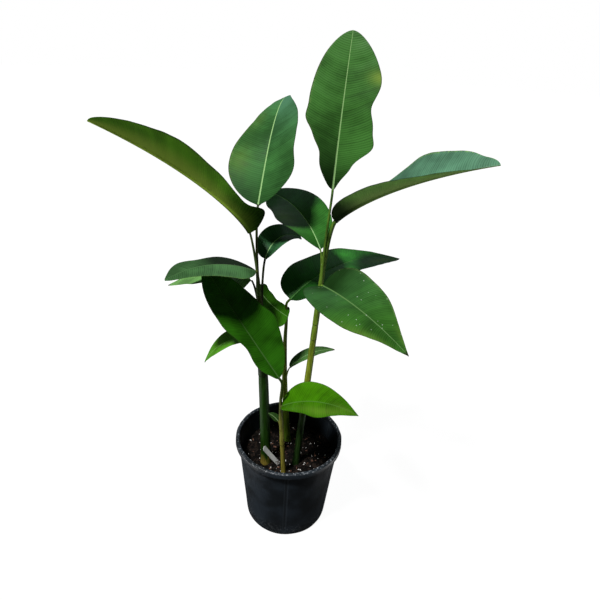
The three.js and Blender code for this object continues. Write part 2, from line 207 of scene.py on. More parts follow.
seam_mark = pot_shape.verts.layers.float.new("seam")
for corner in pot_shape.verts:
    flat = Vector((corner.co.x, corner.co.y))
    if flat.length < POT_RING_INNER_RADIUS:
        continue
    angle = math.atan2(flat.y, flat.x)
    turn = (angle + math.pi / 2) * MOULD_LINES / (2 * math.pi)
    off_line = (turn - round(turn)) * 2 * math.pi / MOULD_LINES * flat.length
    on_wall = min(1, max(0, corner.co.z - POT_FOOT_EASE) / MOULD_FADE_FOOT)
    on_wall *= min(1, max(0, lip_foot - corner.co.z) / MOULD_FADE_LIP)
    in_line = math.exp(-((off_line / MOULD_LINE_WIDTH) ** 2))
    corner[seam_mark] = on_wall * in_line
    flattening = MOULD_FLAT * math.cos(math.pi * (turn - round(turn))) ** 8
    ring_place = Vector((flat.x, flat.y, 0)) * DENT_RATE_ROUND
    dent = WALL_DENT * noise.noise(ring_place + Vector((0, 0, corner.co.z * DENT_RATE_UP)))
    on_lip = min(1, max(0, corner.co.z - lip_foot) / LIP_EASE)
    wave = LIP_WAVE * noise.noise(ring_place * LIP_WAVE_RATE) * on_lip
    flat.length += dent + wave - on_wall * (MOULD_LINE_DEPTH * in_line + flattening)
    corner.co.x = flat.x
    corner.co.y = flat.y
    corner.co.z += LIP_WAVE * noise.noise(ring_place * LIP_RISE_RATE + Vector((5, 0, 0))) * on_lip

pot_finish, tree, shader = start_finish("pot_plastic")
place = object_place(tree)
height = add(tree, "SeparateXYZ", {"Vector": place}).outputs["Z"]
cloudy = speckle(tree, place, 17.0)
wall_tone = blended(tree, eased(tree, cloudy, 0.36, 0.66), POT_BLACK, POT_GREY)
rubbed = speckle(tree, object_place(tree, (1, 1, 1.8)), 190.0, 5.0, 0.7)
near_rim = eased(tree, height, POT_HEIGHT - 0.005, POT_HEIGHT - 0.001)
off_lip = sums(tree, "ABSOLUTE", sums(tree, "SUBTRACT", height, lip_foot + 0.001), 0)
near_lip = eased(tree, off_lip, 0.003, 0.0005, 0.0, 0.6)
near_foot = eased(tree, height, 0.06, 0.015, 0.0, 0.5)
# Scuffs are rubbed wear. At the foot that is all they are; round the rim and the lip the same pale grey
# is also a painted highlight.
wear_and_highlight_spots = sums(tree, "MAXIMUM", sums(tree, "MAXIMUM", near_rim, near_lip), near_foot)
scuffs_and_highlights = sums(tree, "MULTIPLY", eased(tree, rubbed, 0.54, 0.64), wear_and_highlight_spots)
seam = add(tree, "Attribute", {}, attribute_name="seam").outputs["Fac"]
# The mould lines get a painted highlight along their edges and painted shade down the groove.
wall_tone = blended(tree, eased(tree, seam, 0.02, 0.2, 0.0, 0.5), wall_tone, SEAM_PAINTED_HIGHLIGHT)
wall_tone = blended(tree, eased(tree, seam, 0.2, 0.8, 0.0, 0.8), wall_tone, POT_BLACK)
wall_tone = blended(tree, scuffs_and_highlights, wall_tone, SCUFF_AND_HIGHLIGHT_GREY)
coat(tree, shader, wall_tone, eased(tree, cloudy, 0.3, 0.7, 0.34, 0.5), sheen=0.3)
drawn = speckle(tree, object_place(tree, (1, 1, 0.16)), 210.0, 2.0)
relief(tree, shader, sums(tree, "ADD", drawn, rubbed), 0.25, 0.0006)
finished("pot_shell", pot_shape, pot_finish, ("pot",))

# Potting mix: moist peat and shredded bark with white perlite, filled in and settled well below
# the rim. Loose bark, crumbs and perlite lie on top of it.
MIX_LEVEL = 0.185
MIX_CLEARANCE = 0.0008
MIX_RINGS = 70
MIX_SPIN_STEPS = 200
MIX_LUMPS = 0.00252
MIX_LUMP_RATE = 42
# The peat tones are darker than moist peat is: part of their darkness is painted shade.
PEAT_DARK_WITH_PAINTED_SHADE = (0.001, 0.0008, 0.0006, 1)
PEAT_BROWN_WITH_PAINTED_SHADE = (0.005, 0.0034, 0.0025, 1)


def mix_height(x, y):
    lumps = noise.fractal(Vector((x, y, 0)) * MIX_LUMP_RATE, 0.9, 2.1, 4)
    return MIX_LEVEL + MIX_LUMPS * lumps


mix_floor = POT_FLOOR + MIX_CLEARANCE
mix_foot_radius = wall_radius(mix_floor) - POT_WALL - MIX_CLEARANCE
mix_radius = wall_radius(MIX_LEVEL) - POT_WALL - MIX_CLEARANCE
mix_outline = [(0, mix_floor), (mix_foot_radius, mix_floor)]
mix_outline += [(mix_radius * (1 - ring / MIX_RINGS), MIX_LEVEL) for ring in range(MIX_RINGS + 1)]
mix_shape = turned(mix_outline, MIX_SPIN_STEPS)
for corner in mix_shape.verts:
    if corner.co.z > MIX_LEVEL / 2:
        corner.co.z = mix_height(corner.co.x, corner.co.y)
mix_finish, tree, shader = start_finish("peat_mix")
place = object_place(tree)
clods = speckle(tree, place, 120.0, 6.0, 0.7)
peat_tone = blended(tree, eased(tree, clods, 0.4, 0.72), PEAT_DARK_WITH_PAINTED_SHADE, PEAT_BROWN_WITH_PAINTED_SHADE)
coat(tree, shader, peat_tone, eased(tree, clods, 0.3, 0.7, 0.95, 0.8), sheen=0.1)
relief(tree, shader, clods, 0.9, 0.004)
finished("potting_mix", mix_shape, mix_finish, ("soil",))


def loose_finish(name, dark, pale, rough):
    """A crumbly finish between two tones."""
    finish, tree, shader = start_finish(name)
    grain = speckle(tree, object_place(tree), 420.0, 3.0)
    coat(tree, shader, blended(tree, eased(tree, grain, 0.3, 0.7), dark, pale), rough, sheen=0.15)
    relief(tree, shader, grain, 0.5, 0.001)
    return finish


CHIP_BREADTHS = (0.35, 0.8)
CHIP_TILTS = (0.35, 0.3)
CHIP_LIFT = 0.2
CHIP_RADIUS = 0.55
CHIP_ROUGHNESS = 0.07


def strewn(name, finish, count, lengths, flatness, spot, seed):
    """Strews chips over a round spot of the mix, each one a rough block lying at random."""
    rng = random.Random(seed)
    shape = bmesh.new()
    for _ in range(count):
        reach = spot[2] * math.sqrt(rng.random())
        angle = rng.uniform(0, 2 * math.pi)
        x = spot[0] + reach * math.cos(angle)
        y = spot[1] + reach * math.sin(angle)
        length = rng.uniform(*lengths)
        size = Matrix.Diagonal((length, length * rng.uniform(*CHIP_BREADTHS), length * flatness, 1))
        tilt = Matrix.Rotation(rng.gauss(0, CHIP_TILTS[0]), 4, "X")
        tilt = tilt @ Matrix.Rotation(rng.gauss(0, CHIP_TILTS[1]), 4, "Y")
        turn = Matrix.Rotation(rng.uniform(0, math.pi), 4, "Z")
        rest = Matrix.Translation((x, y, mix_height(x, y) + CHIP_LIFT * length * flatness))
        stance = rest @ turn @ tilt @ size
        made = bmesh.ops.create_icosphere(shape, subdivisions=1, radius=CHIP_RADIUS, matrix=stance)
        for corner in made["verts"]:
            nudge = Vector((rng.uniform(-1, 1), rng.uniform(-1, 1), rng.uniform(-1, 1)))
            corner.co += nudge * length * CHIP_ROUGHNESS
    return finished(name, shape, finish, smooth=False)


WHOLE_TOP = (0, 0, mix_radius - 0.006)
# The dark bark is made darker still, which is painted shade.
dark_bark_with_painted_shade = loose_finish("dark_bark_with_painted_shade", (0.003, 0.002, 0.0014, 1), (0.017, 0.01, 0.0065, 1), 0.85)
red_bark = loose_finish("red_bark", (0.04, 0.018, 0.01, 1), (0.19, 0.095, 0.065, 1), 0.8)
pale_bark = loose_finish("pale_bark", (0.17, 0.125, 0.085, 1), (0.34, 0.27, 0.2, 1), 0.8)
white_perlite = loose_finish("white_perlite", (0.42, 0.4, 0.37, 1), (0.75, 0.74, 0.71, 1), 0.9)
strewn("bark_crumbs", dark_bark_with_painted_shade, 900, (0.002, 0.006), 0.5, WHOLE_TOP, 11)
strewn("bark_chips", dark_bark_with_painted_shade, 260, (0.007, 0.017), 0.28, WHOLE_TOP, 12)
strewn("bark_shreds", red_bark, 110, (0.003, 0.009), 0.3, WHOLE_TOP, 13)
strewn("bark_shreds_front", red_bark, 60, (0.005, 0.014), 0.3, (-0.025, -0.087, 0.02), 14)
strewn("bark_splinters", pale_bark, 5, (0.009, 0.016), 0.35, (0.006, -0.092, 0.008), 15)
strewn("perlite", white_perlite, 120, (0.0018, 0.005), 0.8, WHOLE_TOP, 16)

# Label: a blank strip of white polystyrene, snapped off a sheet and pushed into the mix at a
# slant. Its foot is cut to a point, and it has bowed a little.
LABEL_LENGTH = 0.074
LABEL_WIDTH = 0.013
LABEL_THICKNESS = 0.0009
LABEL_POINT = 0.018
LABEL_NIB = 0.12
LABEL_ROUNDING = 0.003
LABEL_BOW = 0.0016
LABEL_HEADING = 199
LABEL_RISE = 58
LABEL_TWIST = 40
LABEL_WHITE = (0.88, 0.9, 0.88, 1)
LABEL_GREY = (0.74, 0.76, 0.75, 1)
LABEL_SOIL = (0.12, 0.085, 0.06, 1)
LABEL_SOILED_TO = 0.022
LABEL_SOILED_FROM = 0.003

label_low, label_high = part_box("plant_label")
label_middle = (Vector(label_low) + Vector(label_high)) / 2
label_turn = Matrix.Rotation(math.radians(LABEL_HEADING), 4, "Z")
label_turn = label_turn @ Matrix.Rotation(math.radians(-LABEL_RISE), 4, "Y")
label_turn = label_turn @ Matrix.Rotation(math.radians(-LABEL_TWIST), 4, "X")
label_shape = bmesh.new()
bmesh.ops.create_grid(label_shape, x_segments=30, y_segments=4, size=0.5)
label_span = LABEL_LENGTH + LABEL_POINT
for corner in label_shape.verts:
    reach = corner.co.x + 0.5
    from_foot = reach * label_span
    from_top = label_span - from_foot
    point = min(1, LABEL_NIB + from_foot / LABEL_POINT)
    rounding = 1 - 0.5 * max(0, 1 - from_top / LABEL_ROUNDING) ** 2
    corner.co.x = from_foot - LABEL_POINT - LABEL_LENGTH / 2
    corner.co.y *= LABEL_WIDTH * point * rounding
    corner.co.z = LABEL_BOW * ((2 * reach - 1) ** 2 - 0.5)
bmesh.ops.recalc_face_normals(label_shape, faces=label_shape.faces)
bmesh.ops.solidify(label_shape, geom=label_shape.faces[:], thickness=LABEL_THICKNESS)
label_stance = Matrix.Translation(label_middle) @ label_turn
bmesh.ops.transform(label_shape, matrix=label_stance, verts=label_shape.verts)
bmesh.ops.recalc_face_normals(label_shape, faces=label_shape.faces)
label_finish, tree, shader = start_finish("label_plastic")
place = object_place(tree)
height = add(tree, "SeparateXYZ", {"Vector": place}).outputs["Z"]
chalky = speckle(tree, place, 260.0)
label_tone = blended(tree, eased(tree, chalky, 0.35, 0.7), LABEL_WHITE, LABEL_GREY)
near_mix = eased(tree, height, MIX_LEVEL + LABEL_SOILED_TO, MIX_LEVEL + LABEL_SOILED_FROM)
soiled = sums(tree, "MULTIPLY", near_mix, eased(tree, chalky, 0.35, 0.55))
label_tone = blended(tree, soiled, label_tone, LABEL_SOIL)
coat(tree, shader, label_tone, eased(tree, chalky, 0.3, 0.7, 0.38, 0.55))
relief(tree, shader, chalky, 0.15, 0.0004)
finished("label_strip", label_shape, label_finish, ("plant_label",), smooth=False)

# Leaves: thin paddles with a pale midrib, channelled above and ribbed below, and close veins that
# sweep from it to the margin. They come before the shoots, which are drawn up to each leaf's foot.
PALE_BACK = (0.13, 0.24, 0.06)
DULL_BACK = (0.06, 0.11, 0.025)
NO_SHADE = (0, 1)
# Some leaves that lie in shade are given lighter greens and backs than the rest, which is painted light.
LEAVES = [
    dict(name="top", stalk="right", base=(0.061, -0.008, 0.890), heading=(74, 77), rise=(82, 68),
         length=0.289, left=0.065, right=0.068, fold=(12, 2), roll=(-4, 0), shoulder=0.67, point=0.63,
         swell_left=(0.64, 0.72, 0.8, 0.99, 1.01), swell_right=(0.3, 0.66, 0.95, 0.92, 1.04),
         lobes_left=((0.24, 0.06, -0.12), (0.44, 0.07, 0.17)),
         lobes_right=((0.275, 0.07, 0.25), (0.53, 0.08, -0.14), (0.7, 0.1, 0.1)),
         green=(0.043, 0.15, 0.024), under=PALE_BACK, gloss=0.1, rib_tint=0.8,
         shade_left=(1, 0.55), shade_right=(0.75, 0.28), patches=((0.72, 1, 0.04, 0.8),)),
    dict(name="crown", stalk="left", base=(-0.086, 0, 0.848), heading=(81, 78.8), rise=(52, -14),
         bend=2.7, length=0.331, left=0.073, right=0.073, fold=(22, -4), roll=(11, 27.6), shoulder=0.6,
         point=1.2, swell_left=(1.08, 1.07, 1.03, 0.88, 1.04), swell_right=(1.15, 1.2, 0.92, 1, 0.76),
         green=(0.038, 0.134, 0.032), under=PALE_BACK, gloss=0.03, rib_tint=0.9,
         bloom_left=(0.4, 0.5, 0.95), bloom_right=(0.9, 0.3, 0.9),
         patches=((0.28, -0.75, 0.1, 0.2), (0.62, -0.8, 0.1, 0.12))),
    dict(name="far_left", stalk="left", leaves=0.680, base=(-0.1, -0.026, 0.797), heading=(181, 190),
         rise=(72, 25), bend=0.29, length=0.359, left=0.064, right=0.062, fold=(29, 38),
         roll=(-21, -25), cup=30, shoulder=0.36, point=0.6, swell_left=(0.64, 0.72, 0.9, 1.14, 1.02),
         swell_right=(0.9, 0.9, 0.71, 1, 0.97), lobes_left=((0.06, 0.05, 0.67),),
         petiole=(0.0034, 0.0024), stem=(0.1, 0.16, 0.04), green=(0.03, 0.1, 0.018),
         under=(0.128, 0.37, 0.018), under_rib=(0.36, 0.56, 0.06), gloss=0.05, shade=(0.95, 0.3)),
    dict(name="centre", stalk="right", leaves=0.600, base=(0.045, -0.002, 0.760), heading=(115, 133),
         rise=(38, -7), length=0.238, left=0.061, right=0.059, fold=(17, -2), roll=(-5, 28),
         shoulder=0.69, point=0.83, swell_left=(1.04, 1.04, 1.09, 0.92, 1), petiole=(0.0026, 0.0016),
         green=(0.03, 0.152, 0.018), under=DULL_BACK, gloss=0.1, rib_tint=0.8,
         bloom_left=(0.4, 0.5, 0.8), bloom_right=(0.5, 0.4, 0.7), patches=((0.42, -0.7, 0.12, 0.3),)),
    dict(name="far_right", stalk="right", leaves=0.640, base=(0.072, -0.012, 0.826),
         heading=(-28, -19.6), rise=(53, 16.5), bend=0.48, length=0.328, left=0.066, right=0.064,
         fold=(24, 24), roll=(12, -16), cup=20, shoulder=0.63, point=0.62,
         swell_left=(0.55, 0.51, 0.62, 1.15, 1.02), lobes_left=((0.1, 0.03, -0.2), (0.93, 0.06, -0.2)),
         petiole=(0.0062, 0.0046), green=(0.077, 0.193, 0.113), under=(0.23, 0.47, 0.1),
         under_rib=(0.3, 0.48, 0.12), gloss=0.1, shade=(1, 0.26, 0.08)),
    dict(name="inner", stalk="left", leaves=0.500, base=(-0.071, 0.02, 0.722), heading=(65, 34),
         rise=(58, -36), bend=0.92, length=0.132, left=0.037, right=0.037, fold=(23, 10),
         roll=(9, -25), shoulder=0.57, point=0.72, petiole=(0.0034, 0.0024), stem=(0.03, 0.04, 0.015),
         green=(0.036, 0.14, 0.048), under=(0.04, 0.09, 0.025), gloss=0.15, rib_tint=0.9),
    dict(name="left_upper", stalk="left", leaves=0.676, base=(-0.086, -0.033, 0.716),
         heading=(192, 218), rise=(25, -21), length=0.194, left=0.055, right=0.052, fold=(-11, -1),
         roll=(2, -4), shoulder=0.57, point=0.74, swell_left=(1, 0.95, 0.88, 0.84, 0.9),
         swell_right=(0.95, 1.04, 1.12, 0.96, 1.3), petiole=(0.003, 0.0024), green=(0.05, 0.135, 0.043),
         under=PALE_BACK, gloss=0.12, rib_tint=0.1, shade_left=(0.4, 0.2),
         shade_right=(1, 0.75, 0.4)),
    dict(name="left_lower", stalk="left", leaves=0.560, base=(-0.098, -0.004, 0.680),
         heading=(169, 170), rise=(50, -33), bend=0.35, length=0.207, left=0.044, right=0.041,
         fold=(3, -4), roll=(5, -3), cup=-40, shoulder=0.59, point=0.83,
         swell_left=(2.2, 0.95, 0.95, 1.15, 1.1), petiole=(0.0034, 0.0022), stem=(0.03, 0.05, 0.02),
         green=(0.12, 0.28, 0.075), under=PALE_BACK, dry_tip=0.9, shade=NO_SHADE),
    dict(name="front_left", stalk="front", base=(-0.029, -0.072, 0.475), heading=(165, 168),
         rise=(54, 57), length=0.298, left=0.048, right=0.061, fold=(32, 20), roll=(30, 66),
         shoulder=0.6, point=0.62, swell_left=(0.8, 1, 0.6, 0.9, 1.02),
         swell_right=(0.85, 1, 1.06, 0.94, 0.84), lobes_right=((0.45, 0.08, 0.11),),
         green=(0.022, 0.12, 0.004), under=(0.05, 0.11, 0.02), gloss=0.1, rib_tint=0.15,
         shade=NO_SHADE),
    dict(name="front_right", stalk="right", leaves=0.655, base=(0.054, -0.037, 0.692),
         heading=(-60, -53.6), rise=(10, -17.4), length=0.270, left=0.067, right=0.073, fold=(29, -8),
         roll=(-19, -7), shoulder=0.42, point=1.09, swell_left=(1, 1, 0.96, 1.04, 1),
         swell_right=(1, 1, 1.03, 1.12, 0.9), green=(0.026, 0.103, 0.011), under=PALE_BACK, gloss=0.09,
         rib_tint=0.25, dry_tip=0.7, flecks=0.8, shade_left=(0.8, 0.5), bloom_left=(0.15, 0.7, 0.2),
         bloom_right=(0.2, 0.55, 0.1), patches=((0.72, 0.95, 0.16, 0.22), (0.86, -0.9, 0.1, 0.15))),
    dict(name="back_right", stalk="back", base=(-0.013, 0.050, 0.611), heading=(40, 19),
         rise=(36, -14), bend=0.9, length=0.323, left=0.067, right=0.062, fold=(18, -7),
         roll=(-8, 3), shoulder=0.42, point=0.71, swell_left=(1.2, 1.1, 0.95, 1.09, 1),
         swell_right=(1.04, 1.04, 0.92, 0.97, 1.06), green=(0.026, 0.18, 0.018),
         under=DULL_BACK, rib_tint=0.2, dry_tip=0.6, shade_right=(0.9, 0.42),
         bloom_right=(0.5, 0.5, 0.8), patches=((0.82, 0.5, 0.14, 0.4),)),
    dict(name="small_right", stalk="back", leaves=0.335, base=(-0.006, 0.044, 0.424),
         heading=(30, 15), rise=(39, -12), length=0.127, left=0.019, right=0.022, fold=(24, 3),
         roll=(6, -2), shoulder=0.59, point=0.87, green=(0.05, 0.13, 0.03), under=DULL_BACK,
         dry_tip=1),
    dict(name="low_front", stalk="front", leaves=0.372, base=(-0.019, -0.078, 0.402),
         heading=(-19, -22), rise=(39, -17), length=0.188, left=0.057, right=0.049, fold=(18, -11),
         roll=(-11, -1), shoulder=0.59, point=1.06, swell_right=(0.8, 0.75, 0.82, 1.15, 0.95),
         green=(0.035, 0.138, 0.0012), under=(0.09, 0.19, 0.02), gloss=0.05, rib_tint=0.1,
         shade=NO_SHADE, patches=((0.6, 0.6, 0.3, 0.22), (0.85, 0, 0.15, 0.2))),
    dict(name="drooping", stalk="left", leaves=0.590, base=(-0.086, 0.022, 0.651), heading=(8, 0),
         rise=(-64, -31), bend=0.9, length=0.104, left=0.044, right=0.039, fold=(-4, -6),
         roll=(-26, -26), shoulder=0.47, point=0.28, swell_left=(1.1, 1.1, 0.73, 0.56, 0.66),
         swell_right=(0.4, 0.5, 0.99, 0.82, 1.07), green=(0.035, 0.15, 0.006), under=(0.06, 0.12, 0.02),
         gloss=0.1),
    dict(name="low_left", stalk="left", leaves=0.500, base=(-0.086, -0.017, 0.543),
         heading=(190, 196), rise=(18, -64), bend=0.88, length=0.140, left=0.034, right=0.037,
         fold=(11, 2), roll=(3, -10), shoulder=0.58, point=0.83, green=(0.07, 0.24, 0.014),
         under=(0.08, 0.17, 0.02), gloss=0.1, dry_tip=0.4, shade=NO_SHADE),
    dict(name="sprout", stalk="front", leaves=0.326, base=(-0.027, -0.062, 0.343),
         heading=(152, 163), rise=(40, 17), length=0.030, left=0.008, right=0.011, fold=(10, 5),
         roll=(0, 0), shoulder=0.6, point=0.8, green=(0.015, 0.042, 0.007), under=(0.06, 0.12, 0.02)),
]
SWELL_STATIONS = (0, 0.15, 0.35, 0.6, 0.85, 1)
CUP_LENGTH = 0.12
PETIOLE_RADII = (0.0044, 0.0026)
SMALL_PETIOLE_RADII = (0.003, 0.0016)
FULL_WIDTH = 0.045
RIB_RADIUS = 0.0028
RIB_REACH = 1.3
RIB_CHANNEL = 0.4
RIB_KEEL = 1.7
TIP_HALF_WIDTH = 0.0006
LEAF_SAMPLES = 400
ROW_LENGTH = 0.0009
HALF_COLUMNS = 15
RIB_COLUMNS = 4
FEWEST_ROWS = 50
BLADE_THICKNESS = 0.0009
MARGIN_THINNING = 0.6
VEIN_PITCH = 0.0042
VEIN_RELIEF = 0.00007
VEIN_SWEEP = 0.085
OTHER_HALF = 500
BAND_PITCH = 0.022
BAND_RELIEF = 0.0011
MARGIN_WAVE = 0.0026
MARGIN_WAVE_RATE = 17
DRY_TIP_SPAN = (0.93, 0.985)
MARGIN_SPAN = (0.985, 1)
MARGIN_TINT = 0.6
DRY_BROWN = (0.11, 0.055, 0.025, 1)
MARGIN_BROWN = (0.016, 0.024, 0.007, 1)
FLECK_WHITE = (0.5, 0.56, 0.48, 1)
RIB_TINT = (0.33, 0.48, 0.22)
# A painted bluish sheen on the upper face of some leaves.
PAINTED_SHEEN_BLUE = (0.075, 0.2, 0.12, 1)
# Pale patches: partly a real yellowing, partly painted light.
PATCH_YELLOW_AND_PAINTED_LIGHT = (0.24, 0.36, 0.05, 1)
PATCH_WIDTH = 0.3
LEAF_MARKS = ("vein", "shade", "across", "rib", "dry", "upper", "bloom", "pale")
# Painted shade that darkens each half of a blade from its foot.
BASE_SHADE = (0.5, 0.3)
SHOOT_SHEEN = 0.12
NO_PAINTED_SHEEN = (0, 0, 1)


def between(pair, share):
    return pair[0] + (pair[1] - pair[0]) * share


def smooth_step(low, high, value):
    share = min(1, max(0, (value - low) / (high - low)))
    return share * share * (3 - 2 * share)


def leaf_frame(leaf, t):
    """The direction of the midrib, its side and its upper face at a share of its length."""
    heading = math.radians(between(leaf["heading"], t))
    rise = math.radians(between(leaf["rise"], t ** leaf.get("bend", 1)))
    roll = math.radians(between(leaf["roll"], t))
    flat = math.cos(rise)
    along = Vector((flat * math.cos(heading), flat * math.sin(heading), math.sin(rise)))
    level = Vector((math.sin(heading), -math.cos(heading), 0))
    side = level * math.cos(roll) + level.cross(along) * math.sin(roll)
    return along, side, side.cross(along)


def petiole_radii(leaf):
    usual = SMALL_PETIOLE_RADII if leaf["left"] + leaf["right"] < FULL_WIDTH else PETIOLE_RADII
    return leaf.get("petiole", usual)


def half_width(leaf, t, sign):
    """The width of one half of the blade, full at the shoulder and drawn out to the tip."""
    shoulder = leaf["shoulder"]
    point = leaf["point"]
    fullest = shoulder / (shoulder + point)
    outline = (t / fullest) ** shoulder * ((1 - t) / (1 - fullest)) ** point
    half = "left" if sign < 0 else "right"
    amounts = leaf.get("swell_" + half)
    fullness = 1
    if amounts:
        values = (*amounts, 1)
        k = 0
        while t > SWELL_STATIONS[k + 1]:
            k += 1
        ease = smooth_step(SWELL_STATIONS[k], SWELL_STATIONS[k + 1], t)
        fullness = between(values[k:k + 2], ease)
    for place, breadth, share in leaf.get("lobes_" + half, ()):
        fullness += share * math.exp(-(((t - place) / breadth) ** 2))
    return leaf[half] * outline * fullness + between((petiole_radii(leaf)[1], TIP_HALF_WIDTH), t)


def walked(leaf):
    """The midrib and the directions beside it, found by walking along the leaf."""
    stations = []
    point = Vector(leaf["base"])
    for step in range(LEAF_SAMPLES + 1):
        t = step / LEAF_SAMPLES
        along, side, up = leaf_frame(leaf, t)
        widths = (half_width(leaf, t, -1), half_width(leaf, t, 1))
        stations.append((point.copy(), side, up, widths))
        stride = leaf_frame(leaf, min(1, t + 0.5 / LEAF_SAMPLES))[0]
        point = point + stride * (leaf["length"] / LEAF_SAMPLES)
    return stations


def on_leaf(leaf, stations, t, across):
    """The place on a leaf's middle surface, its upward direction and its distance from the rib."""
    k = min(LEAF_SAMPLES - 1, int(t * LEAF_SAMPLES))
    share = t * LEAF_SAMPLES - k
    first, second = stations[k], stations[k + 1]
    sign = -1 if across < 0 else 1
    half = 0 if across < 0 else 1
    width = between((first[3][half], second[3][half]), share)
    side = first[1].lerp(second[1], share)
    up = first[2].lerp(second[2], share)
    fold = math.radians(between(leaf["fold"], t) + leaf.get("cup", 0) * math.exp(-t / CUP_LENGTH))
    off = abs(across) * width
    outward = side * (sign * math.cos(fold)) + up * math.sin(fold)
    lean = min(1, off / petiole_radii(leaf)[1]) * math.sin(fold)
    upward = (up * math.cos(fold) - side * (sign * lean)).normalized()
    return first[0].lerp(second[0], share) + outward * off, upward, off


def blade(leaf):
    """A sheet wrapped round the leaf: out over its upper face, and back under it."""
    stations = walked(leaf)
    length = leaf["length"]
    rows = max(FEWEST_ROWS, round(length / ROW_LENGTH))
    around = 4 * HALF_COLUMNS
    seed = sum(map(ord, leaf["name"]))
    shape = bmesh.new()
    bmesh.ops.create_grid(shape, x_segments=rows, y_segments=around, size=0.5)
    layers = {key: shape.verts.layers.float.new(key) for key in LEAF_MARKS}
    margin = set()
    for corner in shape.verts:
        t = round((corner.co.x + 0.5) * rows) / rows
        turn = round((corner.co.y + 0.5) * around)
        upper = turn <= 2 * HALF_COLUMNS
        column = turn - HALF_COLUMNS if upper else 3 * HALF_COLUMNS - turn
        sign, half = (-1, "left") if column < 0 else (1, "right")
        rib = between((min(RIB_RADIUS, petiole_radii(leaf)[1]), TIP_HALF_WIDTH), t)
        rib_share = min(0.5, RIB_REACH * rib / half_width(leaf, t, sign))
        share = rib_share * min(1, abs(column) / RIB_COLUMNS)
        beyond = max(0, abs(column) - RIB_COLUMNS) / (HALF_COLUMNS - RIB_COLUMNS)
        share += (1 - rib_share) * beyond
        swept = t + VEIN_SWEEP * share ** 1.4 * 4 * t * (1 - t)
        middle, upward, off = on_leaf(leaf, stations, swept, sign * share)
        edge = abs(column) == HALF_COLUMNS
        inside = 1 - share ** 10
        vein = t * length / VEIN_PITCH
        ridge = VEIN_RELIEF * math.sin(2 * math.pi * vein) * beyond ** 0.3 * inside
        ease = (4 * t * (1 - t)) ** 0.5
        ripple = noise.noise(Vector((swept * length * MARGIN_WAVE_RATE, sign * 3.7, seed)))
        band = noise.noise(Vector((t * length / BAND_PITCH, sign * 5.3, seed + 9)))
        lift = ridge + MARGIN_WAVE * ripple * share ** 1.6 * ease
        lift += BAND_RELIEF * band * min(1, 2.5 * share) * ease
        if not edge:
            near_rib = max(0, 1 - off / (RIB_REACH * rib))
            skin = BLADE_THICKNESS / 2 * (1 - MARGIN_THINNING * share)
            if upper:
                lift += skin - RIB_CHANNEL * rib * smooth_step(0, 1, near_rib)
            else:
                lift -= skin + RIB_KEEL * rib * math.sqrt(1 - (1 - near_rib) ** 2)
        corner.co = middle + upward * lift
        corner[layers["vein"]] = vein + (OTHER_HALF if sign < 0 else 0)
        # Painted shade: each half is darkened by its depth as far as its deepest share, easing off by
        # its reach.
        depth, reach, *deepest = leaf.get("shade_" + half, leaf.get("shade", BASE_SHADE))
        corner[layers["shade"]] = depth * (1 - smooth_step(sum(deepest), reach, swept))
        corner[layers["across"]] = share
        corner[layers["rib"]] = max(0, 1 - off / rib)
        corner[layers["upper"]] = 1 if upper else 0
        # Painted sheen: a bluish reflection laid over a stretch of each half.
        most, low, high = leaf.get("bloom_" + half, NO_PAINTED_SHEEN)
        corner[layers["bloom"]] = most * smooth_step(low, high, swept)
        # Pale patches, partly yellowing and partly painted light.
        for place, aside, breadth, depth in leaf.get("patches", ()):
            away = ((swept - place) / breadth) ** 2 + ((sign * share - aside) / PATCH_WIDTH) ** 2
            corner[layers["pale"]] += depth * math.exp(-away)
        tip = leaf.get("dry_tip", 0) * smooth_step(*DRY_TIP_SPAN, swept)
        corner[layers["dry"]] = max(tip, MARGIN_TINT * smooth_step(*MARGIN_SPAN, share))
        if edge:
            margin.add(corner)
    for line in shape.edges:
        if line.verts[0] in margin and line.verts[1] in margin:
            line.smooth = False
    bmesh.ops.remove_doubles(shape, verts=shape.verts, dist=1e-7)
    open_ends = [line for line in shape.edges if line.is_boundary]
    bmesh.ops.holes_fill(shape, edges=open_ends, sides=0)
    bmesh.ops.recalc_face_normals(shape, faces=shape.faces)
    return shape


def reading(tree, name):
    """What a corner of the leaf was marked with."""
    return add(tree, "Attribute", {}, attribute_name=name).outputs["Fac"]


